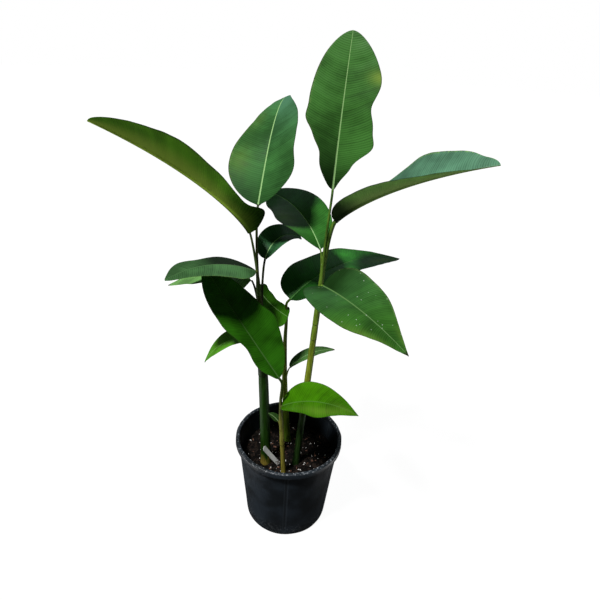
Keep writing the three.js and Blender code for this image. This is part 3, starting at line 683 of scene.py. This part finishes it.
def leaf_finish(leaf):
    """Waxy green with vein bands and lines, a pale rib, a dull underside, painted shade and sheen."""
    finish, tree, shader = start_finish("green_" + leaf["name"])
    green = leaf["green"]
    under = leaf["under"]
    place = object_place(tree)
    mottle = speckle(tree, place, 13.0, 3.0)
    fine = speckle(tree, place, 300.0, 2.0)
    vein = reading(tree, "vein")
    along = add(tree, "CombineXYZ", {"X": vein}).outputs["Vector"]
    bands = speckle(tree, along, 0.16, 2.0)
    drift = sums(tree, "ADD", mottle, speckle(tree, along, 0.7, 1.0))
    phase = sums(tree, "ADD", vein, sums(tree, "MULTIPLY", drift, 1.1))
    ridges = sums(tree, "SINE", sums(tree, "MULTIPLY", phase, 2 * math.pi), 0)
    threads = sums(tree, "SINE", sums(tree, "MULTIPLY", phase, 6 * math.pi), 0)
    furrows = eased(tree, ridges, 0.1, 0.9, 0.1, -0.34)
    lines = sums(tree, "ADD", furrows, sums(tree, "MULTIPLY", threads, 0.05))
    cloud = sums(tree, "ADD", sums(tree, "MULTIPLY", mottle, 0.7), sums(tree, "MULTIPLY", bands, 0.3))
    share = sums(tree, "ADD", eased(tree, cloud, 0.3, 0.66), lines)
    upper_tone = blended(tree, share, toned(green, 0.55), toned(green, 1.45))
    # Painted sheen, stronger where the blade is lighter.
    painted_sheen_share = sums(tree, "MULTIPLY", reading(tree, "bloom"), eased(tree, share, -0.2, 0.8, 0.35, 1.0))
    upper_tone = blended(tree, painted_sheen_share, upper_tone, PAINTED_SHEEN_BLUE)
    # Pale patches, partly yellowing and partly painted light.
    upper_tone = blended(tree, reading(tree, "pale"), upper_tone, PATCH_YELLOW_AND_PAINTED_LIGHT)
    # Painted shade on the upper face, and below on the underside too.
    shade = reading(tree, "shade")
    upper_tone = blended(tree, shade, upper_tone, toned(green, 0.12))
    rib_tint = leaf.get("rib_tint", 0.5)
    rib_tone = tuple(rib_tint * tint + 0.9 * channel for tint, channel in zip(RIB_TINT, green))
    rib_share = eased(tree, reading(tree, "rib"), 0.05, 0.45)
    upper_tone = blended(tree, rib_share, upper_tone, toned(rib_tone, 1))
    under_share = sums(tree, "ADD", sums(tree, "MULTIPLY", lines, 0.6), eased(tree, cloud, 0.34, 0.66))
    under_tone = blended(tree, under_share, toned(under, 0.75), toned(under, 1.25))
    beside_rib = eased(tree, reading(tree, "across"), 0.75, 0.1)
    under_tone = blended(tree, beside_rib, under_tone, toned(leaf.get("under_rib", under), 1))
    under_tone = blended(tree, shade, under_tone, toned(under, 0.1))
    upper = reading(tree, "upper")
    face_tone = blended(tree, upper, under_tone, upper_tone)
    if "flecks" in leaf:
        spots = add(tree, "TexVoronoi", {"Vector": place, "Scale": 150.0})
        few = add(tree, "SeparateXYZ", {"Vector": spots.outputs["Color"]}).outputs["X"]
        chosen = sums(tree, "GREATER_THAN", few, leaf["flecks"])
        ragged = sums(tree, "ADD", spots.outputs["Distance"], sums(tree, "MULTIPLY", fine, 0.16))
        fleck = sums(tree, "MULTIPLY", eased(tree, ragged, 0.24, 0.16), chosen)
        face_tone = blended(tree, sums(tree, "MULTIPLY", fleck, upper), face_tone, FLECK_WHITE)
    dry = reading(tree, "dry")
    face_tone = blended(tree, eased(tree, dry, 0.3, 0.75), face_tone, MARGIN_BROWN)
    face_tone = blended(tree, eased(tree, dry, 0.75, 1.0), face_tone, DRY_BROWN)
    dull = eased(tree, upper, 0.0, 1.0, 0.25, 0.0)
    wax = sums(tree, "ADD", eased(tree, mottle, 0.3, 0.7, 0.36, 0.48), dull)
    coat(tree, shader, face_tone, wax, sheen=leaf.get("gloss", SHOOT_SHEEN))
    relief(tree, shader, sums(tree, "ADD", lines, sums(tree, "MULTIPLY", fine, 0.25)), 0.2, 0.0006)
    return finish


for leaf in LEAVES:
    finished("leaf_" + leaf["name"], blade(leaf), leaf_finish(leaf), ("blade_" + leaf["name"],))

# Stalks: each shoot is a false stem of leaf sheaths rolled tightly round each other, ribbed along
# its length. It leans and tapers, and runs on as the petiole of its leading leaf.
STALKS = {
    "left": dict(stations=((-0.055, -0.033, 0.185, 0.0125), (-0.066, -0.029, 0.430, 0.0115),
                           (-0.076, -0.021, 0.600, 0.007), (-0.083, -0.015, 0.680, 0.0036),
                           (-0.087, -0.009, 0.756, 0.0026)), head=0.0024,
                 colours=((0.0, (0.16, 0.12, 0.02, 1)), (0.07, (0.011, 0.04, 0.003, 1)),
                          (0.45, (0.012, 0.046, 0.003, 1)), (0.66, (0.07, 0.09, 0.015, 1)),
                          (1.0, (0.05, 0.07, 0.025, 1)))),
    "front": dict(stations=((-0.009, -0.066, 0.185, 0.0058), (-0.018, -0.070, 0.320, 0.005),
                            (-0.023, -0.072, 0.410, 0.0035)), head=0.0028,
                  colours=((0.0, (0.25, 0.21, 0.03, 1)), (0.45, (0.22, 0.22, 0.035, 1)),
                           (0.7, (0.08, 0.1, 0.016, 1)), (1.0, (0.03, 0.06, 0.01, 1)))),
    "back": dict(stations=((-0.003, 0.045, 0.185, 0.0076), (-0.017, 0.048, 0.365, 0.0068),
                           (-0.021, 0.049, 0.500, 0.0046), (-0.020, 0.050, 0.560, 0.0036)), head=0.0028,
                 colours=((0.0, (0.1, 0.19, 0.012, 1)), (0.5, (0.15, 0.22, 0.016, 1)),
                          (1.0, (0.05, 0.09, 0.01, 1)))),
    "right": dict(stations=((0.021, -0.034, 0.185, 0.0086), (0.0348, -0.029, 0.410, 0.0079),
                            (0.0468, -0.023, 0.610, 0.0063), (0.051, -0.022, 0.689, 0.0034),
                            (0.0535, -0.017, 0.775, 0.0026)), head=0.0024,
                  colours=((0.0, (0.012, 0.035, 0.006, 1)), (0.26, (0.022, 0.055, 0.01, 1)),
                           (0.36, (0.21, 0.25, 0.016, 1)), (0.6, (0.15, 0.25, 0.022, 1)),
                           (1.0, (0.085, 0.19, 0.028, 1)))),
}
HEAD_GAP = 0.0003
NECK_LENGTH = 0.012
FOOT_SWELLING = 0.18
FOOT_SWELLING_HEIGHT = 0.022
FOOT_DEPTH = 0.006
STALK_SIDES = 56
STALK_STEP = 0.0028
RIBS = 18
RIB_RELIEF = 0.012
SHEATH_STEP = 0.07
SHEATH_TWIST = 5.0
SHEATH_LIP = 0.08
SHEATH_OFFSET = 1.3
CURVE_SAMPLES = 40


def smooth_line(points, step):
    """Even points on a smooth line through the stations, which doesn't overshoot between them."""
    ends = [points[0] * 2 - points[1], *points, points[-1] * 2 - points[-2]]
    dense = []
    for p0, p1, p2, p3 in zip(ends, ends[1:], ends[2:], ends[3:]):
        k0 = max(1e-4, (p1 - p0).length ** 0.5)
        k1 = max(1e-4, (p2 - p1).length ** 0.5)
        k2 = max(1e-4, (p3 - p2).length ** 0.5)
        leave = ((p1 - p0) / k0 - (p2 - p0) / (k0 + k1) + (p2 - p1) / k1) * k1
        arrive = ((p2 - p1) / k1 - (p3 - p1) / (k1 + k2) + (p3 - p2) / k2) * k1
        for sample in range(CURVE_SAMPLES):
            t = sample / CURVE_SAMPLES
            bend = (p1 - p2) * 2 + leave + arrive
            swing = (p2 - p1) * 3 - leave * 2 - arrive
            dense.append(p1 + leave * t + swing * t * t + bend * t ** 3)
    dense.append(points[-1])
    return evened(dense, step)


def evened(dense, step):
    """The same line with points at an even step."""
    lengths = [0]
    for first, second in zip(dense, dense[1:]):
        lengths.append(lengths[-1] + (second - first).length)
    count = max(12, round(lengths[-1] / step))
    line = []
    k = 0
    for place in range(count + 1):
        reach = lengths[-1] * place / count
        while k < len(dense) - 2 and lengths[k + 1] < reach:
            k += 1
        span = max(1e-9, lengths[k + 1] - lengths[k])
        line.append(dense[k].lerp(dense[k + 1], min(1, (reach - lengths[k]) / span)))
    return line


def limb(line, sides, across, radius_at):
    """A sheet wrapped round a line. The radius depends on the step, the share and the angle."""
    steps = len(line) - 1
    rings = []
    along = (line[1] - line[0]).normalized()
    across = (across - along * across.dot(along)).normalized()
    for k in range(steps + 1):
        ahead = (line[min(steps, k + 1)] - line[max(0, k - 1)]).normalized()
        across = along.rotation_difference(ahead) @ across
        along = ahead
        rings.append((across.copy(), along.cross(across)))
    shape = bmesh.new()
    bmesh.ops.create_grid(shape, x_segments=steps, y_segments=sides, size=0.5)
    for corner in shape.verts:
        k = round((corner.co.x + 0.5) * steps)
        turn = round((corner.co.y + 0.5) * sides) % sides
        angle = 2 * math.pi * turn / sides
        radius = radius_at(k, k / steps, angle)
        first, second = rings[k]
        corner.co = line[k] + (first * math.cos(angle) + second * math.sin(angle)) * radius
    bmesh.ops.remove_doubles(shape, verts=shape.verts, dist=1e-7)
    open_ends = [side for side in shape.edges if side.is_boundary]
    bmesh.ops.holes_fill(shape, edges=open_ends, sides=0)
    bmesh.ops.recalc_face_normals(shape, faces=shape.faces)
    return shape


def read_off(heights, values, height):
    k = 0
    while k < len(heights) - 2 and height > heights[k + 1]:
        k += 1
    return between(values[k:k + 2], (height - heights[k]) / (heights[k + 1] - heights[k]))


def shoot_finish(name, stops, low, high):
    """Green sheath, toned by height, with streaks and fine ribs along it."""
    finish, tree, shader = start_finish(name)
    place = object_place(tree)
    height = add(tree, "SeparateXYZ", {"Vector": place}).outputs["Z"]
    streaks = speckle(tree, object_place(tree, (1, 1, 0.06)), 330.0, 4.0, 0.65)
    blotches = speckle(tree, object_place(tree, (1, 1, 0.3)), 95.0, 3.0)
    level = add(tree, "MapRange", {"Value": height, "From Min": low, "From Max": high}).outputs["Result"]
    level = sums(tree, "ADD", level, eased(tree, blotches, 0.3, 0.7, -0.05, 0.05))
    tones = add(tree, "ValToRGB", {"Fac": level})
    while len(tones.color_ramp.elements) < len(stops):
        tones.color_ramp.elements.new(0.5)
    for element, (position, colour) in zip(tones.color_ramp.elements, stops):
        element.position = position
        element.color = colour
    tone = tones.outputs["Color"]
    for light in (eased(tree, streaks, 0.3, 0.7, 0.55, 1.4), eased(tree, blotches, 0.58, 0.7, 1.0, 0.5)):
        tone = add(tree, "HueSaturation", {"Color": tone, "Value": light}).outputs["Color"]
    coat(tree, shader, tone, eased(tree, streaks, 0.3, 0.7, 0.42, 0.58), sheen=SHOOT_SHEEN)
    relief(tree, shader, streaks, 0.4, 0.0006)
    return finish


stalk_lines = {}
stalk_radii = {}
stalk_finishes = {}
for name, stalk in STALKS.items():
    leader = next(leaf for leaf in LEAVES if leaf["stalk"] == name and "leaves" not in leaf)
    head_along = leaf_frame(leader, 0)[0]
    head = Vector(leader["base"]) - head_along * HEAD_GAP
    points = [Vector(station[:3]) for station in stalk["stations"]]
    heights = [point.z for point in points] + [head.z]
    radii = [station[3] for station in stalk["stations"]] + [stalk["head"]]
    line = smooth_line([*points, head - head_along * NECK_LENGTH, head], STALK_STEP)
    line.insert(0, line[0] - Vector((0, 0, FOOT_DEPTH)))
    sheath_start = SHEATH_OFFSET * len(stalk_lines)

    def stalk_radius(k, share, angle):
        height = line[k].z
        plain = read_off(heights, radii, max(height, MIX_LEVEL))
        plain *= 1 + FOOT_SWELLING * math.exp(min(0, MIX_LEVEL - height) / FOOT_SWELLING_HEIGHT)
        ribbed = RIB_RELIEF * math.cos(RIBS * angle)
        turn = (angle - sheath_start - SHEATH_TWIST * height) / (2 * math.pi) % 1
        sheath = SHEATH_STEP * (turn - 0.5) * smooth_step(0, SHEATH_LIP, turn) * (1 - share) ** 0.5
        return plain * (1 + ribbed + sheath)

    shape = limb(line, STALK_SIDES, Vector((1, 0, 0)), stalk_radius)
    finish = shoot_finish("sheath_" + name, stalk["colours"], MIX_LEVEL, head.z)
    stalk_lines[name] = line
    stalk_radii[name] = (heights, radii)
    stalk_finishes[name] = finish
    finished("shoot_" + name, shape, finish, ("stalk_" + name,))

# Petioles: slim leaf stalks, channelled along the top. The foot of each is a sheath that hugs its
# shoot for a stretch before it swings out, and the head runs into the leaf's midrib.
SHEATH_LENGTH = 0.05
SHEATH_SWELL = 1.06
PETIOLE_RISE_SHARE = 0.25
PETIOLE_SWING_SHARE = 0.15
PETIOLE_SIDES = 32
PETIOLE_STEP = 0.002
PETIOLE_CHANNEL = 0.3
HUG_FROM = 0.35
HUG_BEYOND = 0.3
BEZIER_SAMPLES = 60


def swung(start, rise, back, end):
    """Points of a curve that leaves and arrives along its handles."""
    points = []
    for sample in range(BEZIER_SAMPLES + 1):
        t = sample / BEZIER_SAMPLES
        u = 1 - t
        points.append(start * u ** 3 + rise * (3 * u * u * t) + back * (3 * u * t * t) + end * t ** 3)
    return points


def first_above(line, height):
    return next(k for k, point in enumerate(line) if point.z >= height)


for leaf in LEAVES:
    if "leaves" not in leaf:
        continue
    stalk_line = stalk_lines[leaf["stalk"]]
    heights, radii = stalk_radii[leaf["stalk"]]
    leaving = first_above(stalk_line, leaf["leaves"])
    sheath_from = first_above(stalk_line, leaf["leaves"] - SHEATH_LENGTH)
    start = stalk_line[leaving]
    rise_along = (stalk_line[leaving + 1] - stalk_line[leaving - 1]).normalized()
    head_along, head_side = leaf_frame(leaf, 0)[:2]
    head = Vector(leaf["base"]) - head_along * HEAD_GAP
    span = (head - start).length
    free = swung(start, start + rise_along * (PETIOLE_RISE_SHARE * span),
                 head - head_along * (PETIOLE_SWING_SHARE * span), head)
    line = evened(stalk_line[sheath_from:leaving] + free, PETIOLE_STEP)
    foot_radius, head_radius = petiole_radii(leaf)
    sheath_share = SHEATH_LENGTH / (SHEATH_LENGTH + span)
    hug = read_off(heights, radii, line[0].z) * SHEATH_SWELL

    def petiole_radius(k, share, angle):
        plain = between((foot_radius, head_radius), max(0, share - sheath_share) / (1 - sheath_share))
        hug_end = sheath_share + HUG_BEYOND * (1 - sheath_share)
        hugging = 1 - smooth_step(HUG_FROM * sheath_share, hug_end, share)
        channel = PETIOLE_CHANNEL * max(0, math.sin(angle)) ** 4 * (1 - hugging)
        return max(plain, between((plain, hug), hugging)) * (1 - channel)

    shape = limb(line[::-1], PETIOLE_SIDES, head_side, lambda k, share, angle: petiole_radius(
        len(line) - 1 - k, 1 - share, -angle))
    finish = stalk_finishes[leaf["stalk"]]
    if "stem" in leaf:
        tone = (*leaf["stem"], 1)
        finish = shoot_finish("stem_" + leaf["name"], ((0.0, tone), (1.0, tone)), start.z, head.z)
    finished("stem_" + leaf["name"], shape, finish, ("petiole_" + leaf["name"],))

# Floor: a plain pale studio floor under the pot, which isn't part of the plant. It is a wide disc
# that glows as a lit sweep does, but only to the camera.
FLOOR_RADIUS = 14.0
FLOOR_PALE = (0.045, 0.045, 0.045, 1)
FLOOR_WARM = (0.042, 0.042, 0.042, 1)
FLOOR_GLOW = 0.97
floor_shape = bmesh.new()
bmesh.ops.create_circle(floor_shape, cap_ends=True, segments=96, radius=FLOOR_RADIUS)
floor_finish, tree, shader = start_finish("studio_floor")
floor_tone = blended(tree, speckle(tree, object_place(tree), 3.0), FLOOR_PALE, FLOOR_WARM)
coat(tree, shader, floor_tone, 0.9)
put(tree, shader.inputs["Emission Color"], (1, 1, 1, 1))
put(tree, shader.inputs["Emission Strength"], FLOOR_GLOW)
floor_mesh = bpy.data.meshes.new("studio_floor")
floor_shape.to_mesh(floor_mesh)
floor_shape.free()
floor_mesh.materials.append(floor_finish)
floor = bpy.data.objects.new("studio_floor", floor_mesh)
bpy.context.collection.objects.link(floor)
floor.visible_diffuse = False
floor.visible_glossy = False

# Light: one soft source high at the front left, a cool card behind for the leaves' sheen, a low one
# for their backs, bounce cards under them, and a dim surround that is white to the camera.
KEY_STRENGTH = 3.8
KEY_SPREAD = 8
KEY_TILT = (20, -20, 0)
CARDS = {
    "card_sky": dict(power=6.0, size=2.0, place=(0.4, 1.7, 2.3), aim=(0, 0, 0.7), colour=(0.8, 0.93, 1)),
    "card_back": dict(power=18.0, size=0.9, place=(-0.3, 1.5, 0.2), aim=(0, 0, 0.7), sheen=False),
    "card_under_left": dict(power=5.0, size=0.7, place=(-0.8, -0.2, 0.03), aim=(-0.5, -0.1, 0.9)),
    "card_under_right": dict(power=3.0, size=0.7, place=(0.75, -0.1, 0.03), aim=(0.45, -0.1, 0.9)),
}
SURROUND = 0.05
SURROUND_TINT = (0.95, 0.98, 1, 1)
key = bpy.data.lights.new("key", "SUN")
key.energy = KEY_STRENGTH
key.angle = math.radians(KEY_SPREAD)
key_light = bpy.data.objects.new("key", key)
key_light.rotation_euler = [math.radians(turn) for turn in KEY_TILT]
bpy.context.collection.objects.link(key_light)
for name, card in CARDS.items():
    light = bpy.data.lights.new(name, "AREA")
    light.energy = card["power"]
    light.size = card["size"]
    light.color = card.get("colour", (1, 1, 1))
    card_light = bpy.data.objects.new(name, light)
    card_light.location = card["place"]
    card_aim = Vector(card["aim"]) - Vector(card["place"])
    card_light.rotation_euler = card_aim.to_track_quat("-Z", "Y").to_euler()
    card_light.visible_camera = False
    card_light.visible_glossy = card.get("sheen", True)
    bpy.context.collection.objects.link(card_light)
world = bpy.data.worlds.new("studio")
bpy.context.scene.world = world
world.use_nodes = True
tree = world.node_tree
surround = tree.nodes["Background"]
put(tree, surround.inputs["Color"], SURROUND_TINT)
put(tree, surround.inputs["Strength"], SURROUND)
backdrop = add(tree, "Background", {"Color": (1, 1, 1, 1)})
seen = add(tree, "LightPath", {}).outputs["Is Camera Ray"]
both = add(tree, "MixShader", {"Fac": seen, 1: surround.outputs[0], 2: backdrop.outputs[0]})
put(tree, tree.nodes["World Output"].inputs["Surface"], both.outputs["Shader"])
bpy.context.scene.view_settings.view_transform = "Standard"

# Camera: held as high as the top of the plant, a metre in front of it and looking down, with the
# small turn and roll of the photo.
CAMERA_PLACE = (0, -1.018, 1.173)
CAMERA_DOWN = math.radians(27.8)
CAMERA_YAW = math.radians(0.5)
CAMERA_ROLL = math.radians(3.2)
CAMERA_LENS = 31.32
CAMERA_SENSOR = 36.0
level_right = Vector((math.cos(CAMERA_YAW), -math.sin(CAMERA_YAW), 0))
level_ahead = Vector((math.sin(CAMERA_YAW), math.cos(CAMERA_YAW), 0))
ahead = level_ahead * math.cos(CAMERA_DOWN) - Vector((0, 0, math.sin(CAMERA_DOWN)))
level_up = level_right.cross(ahead)
right = level_right * math.cos(CAMERA_ROLL) + level_up * math.sin(CAMERA_ROLL)
up = level_up * math.cos(CAMERA_ROLL) - level_right * math.sin(CAMERA_ROLL)
camera = bpy.data.cameras.new("camera")
camera.lens = CAMERA_LENS
camera.sensor_width = CAMERA_SENSOR
camera_stand = bpy.data.objects.new("camera", camera)
camera_turn = Matrix((right, up, -ahead)).transposed().to_4x4()
camera_stand.matrix_world = Matrix.Translation(CAMERA_PLACE) @ camera_turn
bpy.context.collection.objects.link(camera_stand)
bpy.context.scene.camera = camera_stand
